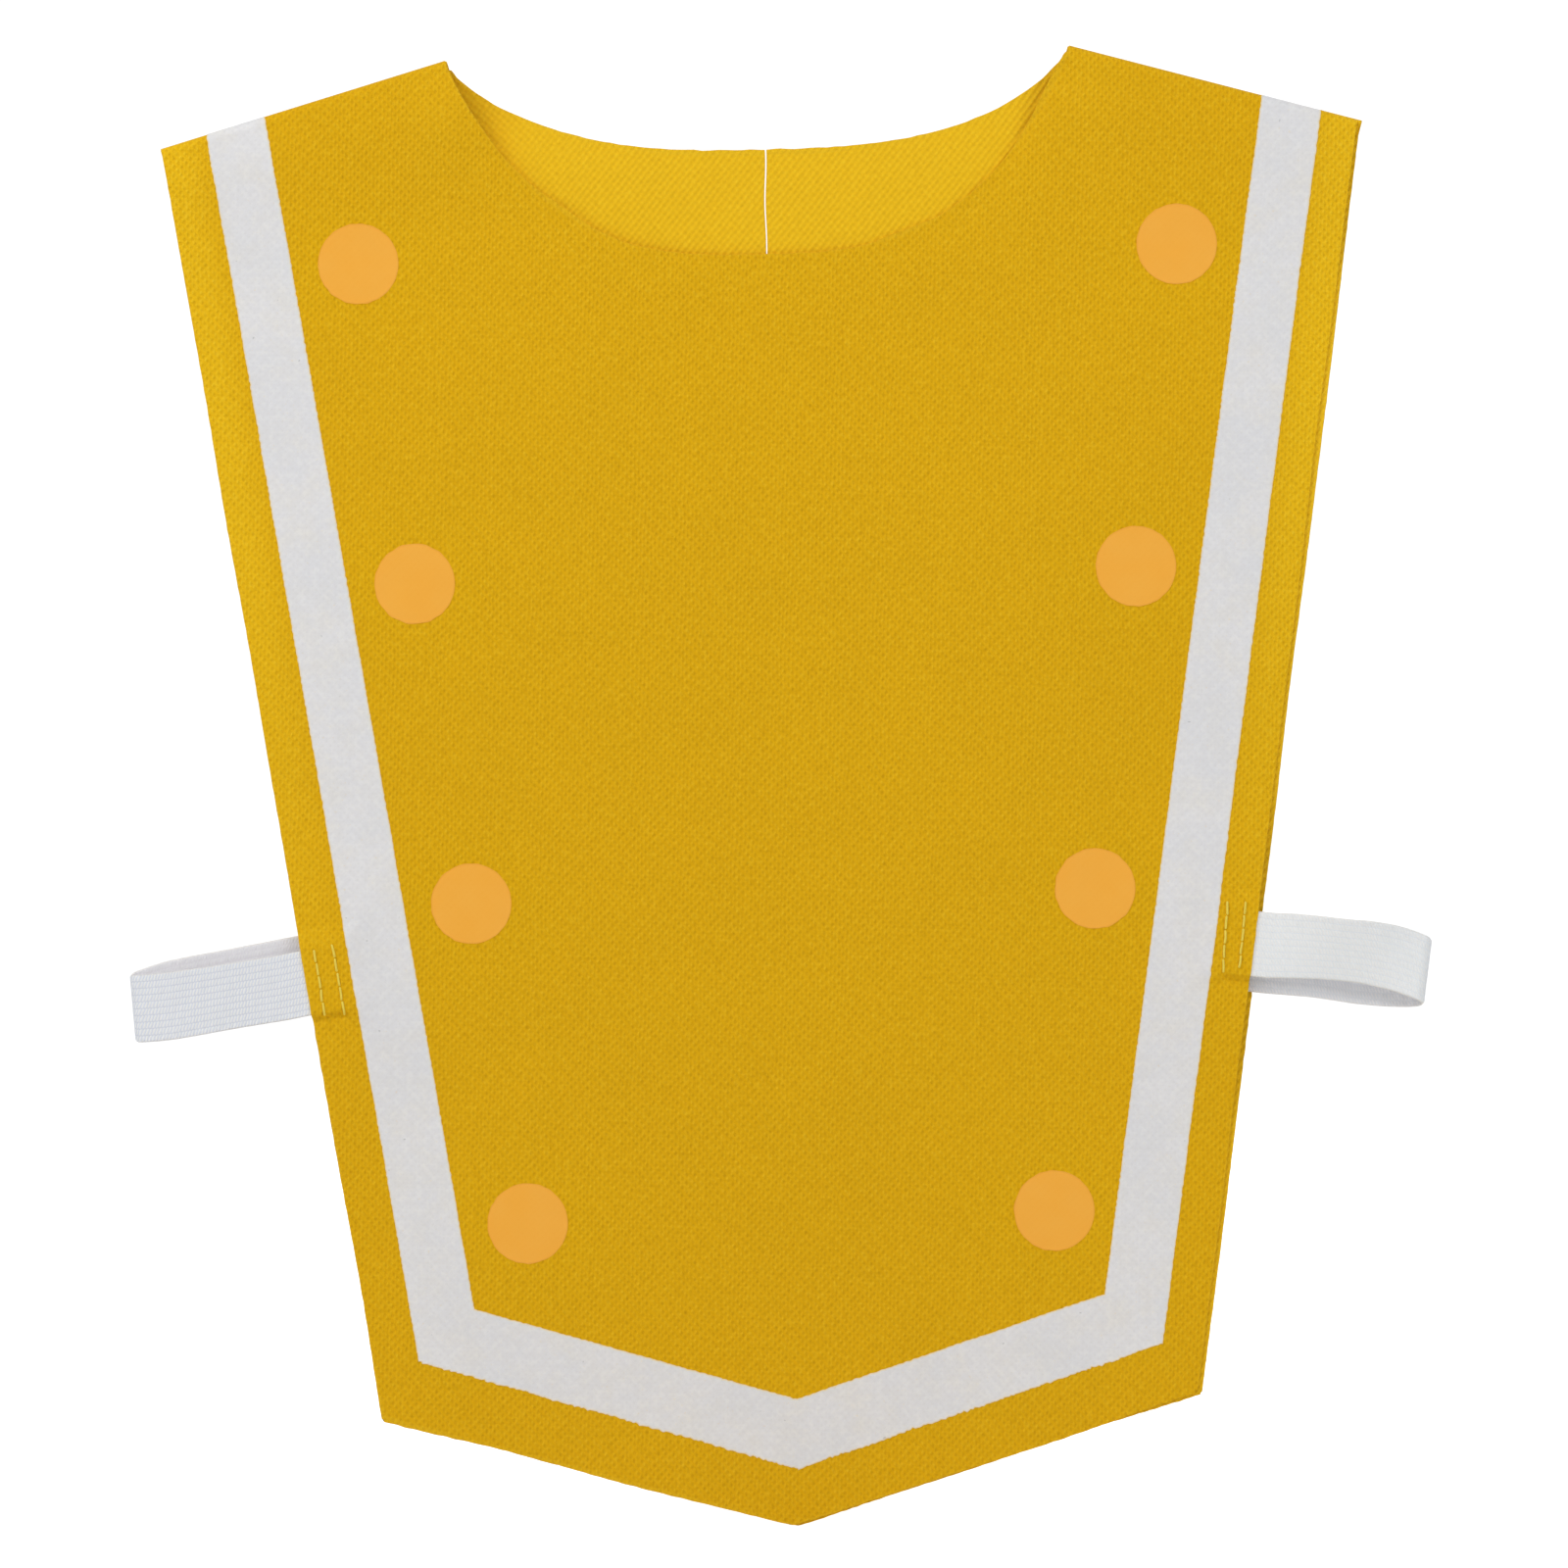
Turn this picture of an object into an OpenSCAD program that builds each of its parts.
// Pull-on tabard vest of embossed nonwoven cloth: a front and a back panel joined at the shoulders,
// white tapes and round dots on the front, and an elastic loop sewn between the panels at each side.
// +Z is up, the front looks to -Y, "left" is the -X side.
// Origin: the point of the hem, midway between the panels.

/* [Panels] */
// Height from the point of the hem to the neck points
vest_height = 458.9; // [440:0.1:480]
// Half width at the neck points
neck_half = 97.6; // [90:0.1:102]
// Half width at the shoulder tips
tip_half = 186.5; // [180:0.1:195]
// Height of the shoulder tips
tip_z = 433.6; // [425:0.1:438]
// Half width at the hem corners
hem_half = 127; // [120:0.1:135]
// Height of the hem corners
hem_z = 36.9; // [25:0.1:45]
// Depth of the front neckline below the neck points
front_neck_depth = 62.5; // [55:0.1:75]
// Fullness of the front neckline across, 2 is an ellipse
front_neck_across = 3; // [2:0.05:3.4]
// Fullness of the front neckline downwards, 2 is an ellipse
front_neck_down = 1.1; // [1:0.05:2]
// Depth of the back neckline below the neck points
back_neck_depth = 31.2; // [25:0.1:40]
// Fullness of the back neckline across, 2 is an ellipse
back_neck_across = 2.7; // [2:0.05:3.4]
// Fullness of the back neckline downwards, 2 is an ellipse
back_neck_down = 1.25; // [1:0.05:2]
// Length of the slit in the back neckline
slit_len = 75; // [45:1:90]
// Width of the slit
slit_width = 0.8; // [0.6:0.1:1.5]
// Thickness of the cloth
cloth_thick = 0.6; // [0.5:0.05:0.8]
// Half of the space between the two panels
half_gap = 3.0; // [2.8:0.1:4]
// How far the back panel lies to the right of the front panel
back_shift = 1.6; // [0:0.1:2.5]
// Depth of the turned-in seam allowance at the shoulders
allowance = 8; // [6:0.5:10]

/* [Tapes and dots] */
// Thickness of the tapes and the dots
tape_thick = 0.15; // [0.1:0.01:0.25]
// Outer lower corner of the tape frame, half width
tape_out_x = 116.0; // [112:0.1:117]
// Outer lower corner of the tape frame, height
tape_out_z = 53.8; // [51:0.1:58]
// Inner lower corner of the tape frame, half width
tape_in_x = 98.3; // [95:0.1:100]
// Inner lower corner of the tape frame, height
tape_in_z = 69.7; // [66:0.1:74]
// Lower edge of the hem tapes on the centre line
tape_tip_out = 17.4; // [15:0.1:20]
// Upper edge of the hem tapes on the centre line
tape_tip_in = 39.2; // [37:0.1:43]
// Outer edge of the side tape at the shoulder, half width
tape_top_out = 173.6; // [171:0.1:176]
// Inner edge of the side tape at the shoulder, half width
tape_top_in = 155.3; // [152:0.1:158]
// How far the tapes lie off centre at their lower corners
tape_shift_low = 0.6; // [0:0.1:1.5]
// How far the tapes lie off centre at the shoulders
tape_shift_top = 1.5; // [0:0.1:1.6]
// How far the point of the hem tapes lies off centre
tape_shift_tip = 2.0; // [0:0.1:2.5]
// How far the dots lie off centre
dot_shift = 1.7; // [0:0.1:2]
// Radius of a dot
dot_radius = 12.5; // [10:0.1:13.5]
// Half width of the top pair of dots
dot_top_x = 127.6; // [124:0.1:129]
// Half width of the bottom pair of dots
dot_low_x = 82.1; // [79:0.1:83]
// Height of the top pair of dots
dot_top_z = 396.3; // [385:0.1:400]
// Height of the bottom pair of dots
dot_low_z = 96.0; // [92:0.1:105]

/* [Elastic loops] */
// Width of the elastic
band_width = 20; // [18:1:25]
// Thickness of the elastic
band_thick = 0.9; // [0.7:0.1:1.1]
// How far a loop stands out from the side edge
loop_len = 55; // [45:1:65]
// Height of the loops' centre line at the side edge
loop_z = 175; // [150:1:200]
// Length of elastic sewn under each panel
tab_len = 15; // [14:0.5:18]
// How far the left loop's back end is sewn above its front end
rise_left = 4.7; // [-6:0.1:6]
// How far the right loop's back end is sewn above its front end
rise_right = -5; // [-6:0.1:6]
// Opening at a loop's turn
turn_gap = 0.16; // [0.1:0.02:0.4]

/* [Stitches] */
// Distance of the left loop's outer stitch row from the side edge
left_row_outer = 4.6; // [3.4:0.1:5.5]
// Distance of the left loop's inner stitch row from the side edge
left_row_inner = 10.2; // [8.4:0.1:11]
// Distance of the right loop's outer stitch row from the side edge
right_row_outer = 3.5; // [3.4:0.1:5.5]
// Distance of the right loop's inner stitch row from the side edge
right_row_inner = 8.7; // [8.4:0.1:11]
// Length of one stitch
stitch_len = 4; // [3.4:0.1:4.2]
// Width of the thread
thread_width = 0.45; // [0.3:0.05:0.5]
// Thickness of the thread where it lies in the cloth
thread_thick = 0.35; // [0.25:0.05:0.4]

/* [Hidden] */
$fn = 96;

// values of "side" (along X) and "layer" (along Y)
LEFT = -1;
RIGHT = 1;
FRONT = -1;
BACK = 1;

// small clearances that keep the pieces apart
mid_gap = 0.02;      // shoulder rolls and allowances to the plane midway between the panels
tape_gap = 0.01;     // cloth to tapes and dots
band_gap = 0.02;     // cloth to elastic
bend_gap = 0.1;      // sewn end of a loop to the bend of its leg
thread_room = 0.05;  // hole around a thread

neck_steps = 40;     // segments of a neckline
roll_overrun = 8;    // extra length of the shoulder rolls at each end, trimmed by the outline
cut_reach = 20;      // half depth in Y of the sheets used for trimming
stitch_margin = 0.3; // from either end of a stitch's pitch to its thread
loop_stitches = 5;   // stitches in one row of a loop
dot_count = 4;       // dots in one column

outer_face = half_gap + cloth_thick;                                   // outer face of a panel
side_angle = atan((tip_half - hem_half) / (tip_z - hem_z));            // lean of the side edges
shoulder_angle = atan((vest_height - tip_z) / (tip_half - neck_half));
shoulder_len = norm([tip_half - neck_half, vest_height - tip_z]);
roll_x = neck_half - outer_face * sin(shoulder_angle);                 // start of the roll's axis
roll_z = vest_height - outer_face * cos(shoulder_angle);
loop_x = hem_half + (loop_z - hem_z) * tan(side_angle);                // side edge at the loops
band_y = half_gap - band_thick / 2 - band_gap;                         // middle of a leg of elastic

YELLOW = [0.86, 0.66, 0.10];
WHITE = [0.88, 0.88, 0.87];
ORANGE = [0.96, 0.69, 0.26];
ELASTIC = [0.88, 0.90, 0.92];
THREAD = [0.97, 0.80, 0.18];

// mirror vectors; a zero vector leaves the shape as it is
function flip_x(wanted) = [wanted ? 1 : 0, 0, 0];
function flip_y(wanted) = [0, wanted ? 1 : 0, 0];

// ---- outlines, as [x, z] points ----
function neck_z(x, depth, across, down) =
  vest_height - depth * pow(max(0, 1 - pow(abs(x) / neck_half, across)), 1 / down);
function neck_points(depth, across, down) =
  [for (i = [0 : neck_steps])
    let (x = neck_half * cos(180 * i / neck_steps)) [x, neck_z(x, depth, across, down)]];
function outline(layer) = concat(
  [[-hem_half, hem_z], [0, 0], [hem_half, hem_z], [tip_half, tip_z]],
  layer == FRONT
    ? neck_points(front_neck_depth, front_neck_across, front_neck_down)
    : neck_points(back_neck_depth, back_neck_across, back_neck_down),
  [[-tip_half, tip_z]]);
// height of the shoulder edge at half width x
function shoulder_z(x) = vest_height - (x - neck_half) * tan(shoulder_angle);

// a sheet with the given outline, from y0 to y0 + thick
module sheet(points, y0, thick)
  translate([0, y0 + thick, 0]) rotate([90, 0, 0]) linear_extrude(thick) polygon(points);

// everything below the start of the shoulder rolls
module under_rolls() {
  far = 300;
  bottom = -20;
  far_z = roll_z - (far - roll_x) * tan(shoulder_angle);
  peak_z = roll_z + roll_x * tan(shoulder_angle);
  sheet([[-far, bottom], [far, bottom], [far, far_z], [0, peak_z], [-far, far_z]],
    -cut_reach, 2 * cut_reach);
}

// ---- panels ----
// frame of a shoulder: +X runs down the shoulder from the neck, +Z is its outward normal
module shoulder(side)
  mirror(flip_x(side == LEFT)) translate([roll_x, 0, roll_z]) rotate([0, shoulder_angle, 0])
    children();

// a quarter tube along a shoulder, from x0 to x1
module quarter_tube(layer, r_in, r_out, x0, x1) intersection() {
  translate([x0, 0, 0]) rotate([0, 90, 0]) difference() {
    cylinder(r = r_out, h = x1 - x0);
    translate([0, 0, -1]) cylinder(r = r_in, h = x1 - x0 + 2);
  }
  translate([x0 - 1, layer == FRONT ? -r_out - 1 : mid_gap, 0])
    cube([x1 - x0 + 2, r_out + 1 - mid_gap, r_out + 1]);
}

// a panel: flat sheet, rolled over at both shoulders, with the seam allowance turned in
module panel(layer) {
  roll_overlap = 0.3; // how far the allowance reaches up into the roll
  intersection() {
    union() {
      intersection() {
        sheet(outline(layer), layer == FRONT ? -outer_face : half_gap, cloth_thick);
        under_rolls();
      }
      for (side = [LEFT, RIGHT]) shoulder(side) {
        quarter_tube(layer, half_gap, outer_face, -roll_overrun, shoulder_len + roll_overrun);
        translate([-roll_overrun, layer == FRONT ? -mid_gap - cloth_thick : mid_gap,
            half_gap + roll_overlap - allowance])
          cube([shoulder_len + 2 * roll_overrun, cloth_thick, allowance]);
      }
    }
    sheet(outline(layer), -cut_reach, 2 * cut_reach);
  }
}

module front_panel() color(YELLOW) difference() {
  panel(FRONT);
  all_rows(FRONT, thread_room);
}

module back_panel() color(YELLOW) difference() {
  translate([back_shift, 0, 0]) panel(BACK);
  translate([back_shift - slit_width / 2, -1, vest_height - back_neck_depth - slit_len])
    cube([slit_width, 10, slit_len + 20]);
  all_rows(BACK, thread_room);
}

// ---- tapes and dots on the front ----
// the tape runs up beyond the shoulder and is trimmed to the flat panel and its roll
module tape_side(side) color(WHITE) mirror(flip_x(side == LEFT)) {
  tape_face = outer_face + tape_gap;
  low_shift = side * tape_shift_low;
  out_x = tape_top_out + side * tape_shift_top;
  in_x = tape_top_in + side * tape_shift_top;
  out_z = shoulder_z(out_x);
  in_z = shoulder_z(in_x);
  // sideways run of each edge per unit of height
  out_run = (out_x - tape_out_x - low_shift) / (out_z - tape_out_z);
  in_run = (in_x - tape_in_x - low_shift) / (in_z - tape_in_z);
  beyond = 60;
  points = [[tape_in_x + low_shift, tape_in_z], [tape_out_x + low_shift, tape_out_z],
    [out_x + out_run * beyond, out_z + beyond], [in_x + in_run * beyond, in_z + beyond]];
  intersection() {
    union() {
      intersection() {
        sheet(points, -tape_face - tape_thick, tape_thick);
        under_rolls();
      }
      shoulder(RIGHT)
        quarter_tube(FRONT, tape_face, tape_face + tape_thick, 20, shoulder_len - 2);
    }
    sheet(points, -cut_reach, 2 * cut_reach);
  }
}

// a hem tape, kept just clear of the side tape and of the other hem tape
module tape_hem(side) color(WHITE) mirror(flip_x(side == LEFT)) {
  tip_x = side * tape_shift_tip + 0.02;
  corner_dx = side * tape_shift_low - 0.03;
  corner_dz = -0.05;
  sheet([[tip_x, tape_tip_out], [tape_out_x + corner_dx, tape_out_z + corner_dz],
      [tape_in_x + corner_dx, tape_in_z + corner_dz], [tip_x, tape_tip_in]],
    -outer_face - tape_gap - tape_thick, tape_thick);
}

// dot number i of a column, counted from the top
module dot(side, i) color(ORANGE) {
  part = (i - 1) / (dot_count - 1);
  translate([dot_shift + side * (dot_top_x + (dot_low_x - dot_top_x) * part),
      -outer_face - tape_gap, dot_top_z + (dot_low_z - dot_top_z) * part])
    rotate([90, 0, 0]) cylinder(r = dot_radius, h = tape_thick);
}

// ---- elastic ----
function rise_of(side) = side == LEFT ? rise_left : rise_right;
// how far out a panel's edge lies
function edge_of(side, layer) = layer == BACK ? side * back_shift : 0;
// how far out both halves of a loop bend
function bend_of(side) = max(0, side * back_shift);

// frame of a loop: -X runs out from the side edge, +Z along the edge; shift moves it out
module loop_frame(side, shift)
  mirror(flip_x(side == RIGHT)) translate([-loop_x - shift, 0, loop_z])
    rotate([0, -side_angle, 0]) children();

// the end of a loop sewn under a panel
module loop_end(side, layer) color(ELASTIC) difference() {
  start = band_thick / 2 + bend_gap;
  loop_frame(side, bend_of(side))
    translate([start, layer * band_y - band_thick / 2,
        layer * rise_of(side) / 2 - band_width / 2])
      cube([tab_len + bend_of(side) - edge_of(side, layer) - start, band_thick, band_width]);
  for (inset = insets(side)) loop_row(side, layer, inset, thread_room);
}

// half of a loop, from its bend beside the panels to the middle of the turn;
// it slants so that both halves meet there
module loop_leg(side, layer) color(ELASTIC) loop_frame(side, bend_of(side)) {
  turn_x = -(loop_len - bend_of(side) - band_y - band_thick / 2);
  low = layer * rise_of(side) / 2 - band_width / 2;
  cut = 10; // size of the block that keeps one quarter of the turn's tube
  sheet([[0, low], [0, low + band_width], [turn_x, band_width / 2], [turn_x, -band_width / 2]],
    layer * band_y - band_thick / 2, band_thick);
  translate([0, layer * band_y, low]) cylinder(r = band_thick / 2, h = band_width);
  translate([turn_x, 0, -band_width / 2]) intersection() {
    difference() {
      cylinder(r = band_y + band_thick / 2, h = band_width);
      translate([0, 0, -1]) cylinder(r = band_y - band_thick / 2, h = band_width + 2);
    }
    translate([-cut, layer == FRONT ? -cut : turn_gap / 2, -1])
      cube([cut, cut - turn_gap / 2, band_width + 2]);
  }
}

// ---- stitches; "grow" enlarges a thread to cut its hole ----
// distances of a loop's stitch rows from the side edge
function insets(side) =
  side == LEFT ? [left_row_outer, left_row_inner] : [right_row_outer, right_row_inner];

// one stitch along Z with its back at y = 0 and its two ends reaching to y = depth
module stitch(depth, grow) {
  width = thread_width + 2 * grow;
  translate([-width / 2, -grow, stitch_margin - grow])
    cube([width, thread_thick + 2 * grow, stitch_len - 2 * stitch_margin + 2 * grow]);
  for (z = [stitch_margin, stitch_len - stitch_margin - thread_thick])
    translate([-width / 2, 0, z - grow]) cube([width, depth + grow, thread_thick + 2 * grow]);
}

// a centred row of stitches
module stitch_row(count, depth, grow)
  for (i = [0 : count - 1])
    translate([0, 0, (i - count / 2) * stitch_len]) stitch(depth, grow);

// both threads of one row through panel and elastic, ending just short of each other
module loop_row(side, layer, inset, grow = 0) {
  stack = cloth_thick + band_gap + band_thick;
  depth = stack / 2 - 0.03;
  loop_frame(side, edge_of(side, layer))
    translate([inset, 0, layer * rise_of(side) / 2]) mirror(flip_y(layer == BACK)) {
      translate([0, -outer_face, 0]) stitch_row(loop_stitches, depth, grow);
      translate([0, -outer_face + stack, 0]) mirror([0, 1, 0])
        stitch_row(loop_stitches, depth, grow);
    }
}

// the thread of a shoulder seam that lies on the front or the back allowance
module seam_row(side, layer, grow = 0) {
  row_drop = 4;        // row below the inner top of the roll
  end_room = 3;        // shoulder length left without stitches
  thread_short = 0.02; // thread ends short of the cloth's far face
  shoulder(side) mirror(flip_y(layer == BACK))
    translate([shoulder_len / 2, -mid_gap - cloth_thick, half_gap - row_drop])
      rotate([0, 90, 0])
        stitch_row(floor((shoulder_len - end_room) / stitch_len),
          cloth_thick - thread_short, grow);
}

// every row that goes through one panel
module all_rows(layer, grow) for (side = [LEFT, RIGHT]) {
  for (inset = insets(side)) loop_row(side, layer, inset, grow);
  seam_row(side, layer, grow);
}

module loop_thread(side, layer, inset) color(THREAD) loop_row(side, layer, inset);
module seam_thread(side, layer) color(THREAD) seam_row(side, layer);

front_panel();
back_panel();
tape_side(LEFT);  // tape_side_left
tape_side(RIGHT);  // tape_side_right
tape_hem(LEFT);  // tape_hem_left
tape_hem(RIGHT);  // tape_hem_right
dot(LEFT, 1);  // dot_left_1
dot(LEFT, 2);  // dot_left_2
dot(LEFT, 3);  // dot_left_3
dot(LEFT, 4);  // dot_left_4
dot(RIGHT, 1);  // dot_right_1
dot(RIGHT, 2);  // dot_right_2
dot(RIGHT, 3);  // dot_right_3
dot(RIGHT, 4);  // dot_right_4
loop_end(LEFT, FRONT);  // loop_left_front_end
loop_leg(LEFT, FRONT);  // loop_left_front_leg
loop_leg(LEFT, BACK);  // loop_left_back_leg
loop_end(LEFT, BACK);  // loop_left_back_end
loop_end(RIGHT, FRONT);  // loop_right_front_end
loop_leg(RIGHT, FRONT);  // loop_right_front_leg
loop_leg(RIGHT, BACK);  // loop_right_back_leg
loop_end(RIGHT, BACK);  // loop_right_back_end
loop_thread(LEFT, FRONT, left_row_outer);  // stitch_left_front_outer
loop_thread(LEFT, FRONT, left_row_inner);  // stitch_left_front_inner
loop_thread(LEFT, BACK, left_row_outer);  // stitch_left_back_outer
loop_thread(LEFT, BACK, left_row_inner);  // stitch_left_back_inner
loop_thread(RIGHT, FRONT, right_row_outer);  // stitch_right_front_outer
loop_thread(RIGHT, FRONT, right_row_inner);  // stitch_right_front_inner
loop_thread(RIGHT, BACK, right_row_outer);  // stitch_right_back_outer
loop_thread(RIGHT, BACK, right_row_inner);  // stitch_right_back_inner
seam_thread(LEFT, FRONT);  // shoulder_thread_left_front
seam_thread(LEFT, BACK);  // shoulder_thread_left_back
seam_thread(RIGHT, FRONT);  // shoulder_thread_right_front
seam_thread(RIGHT, BACK);  // shoulder_thread_right_back
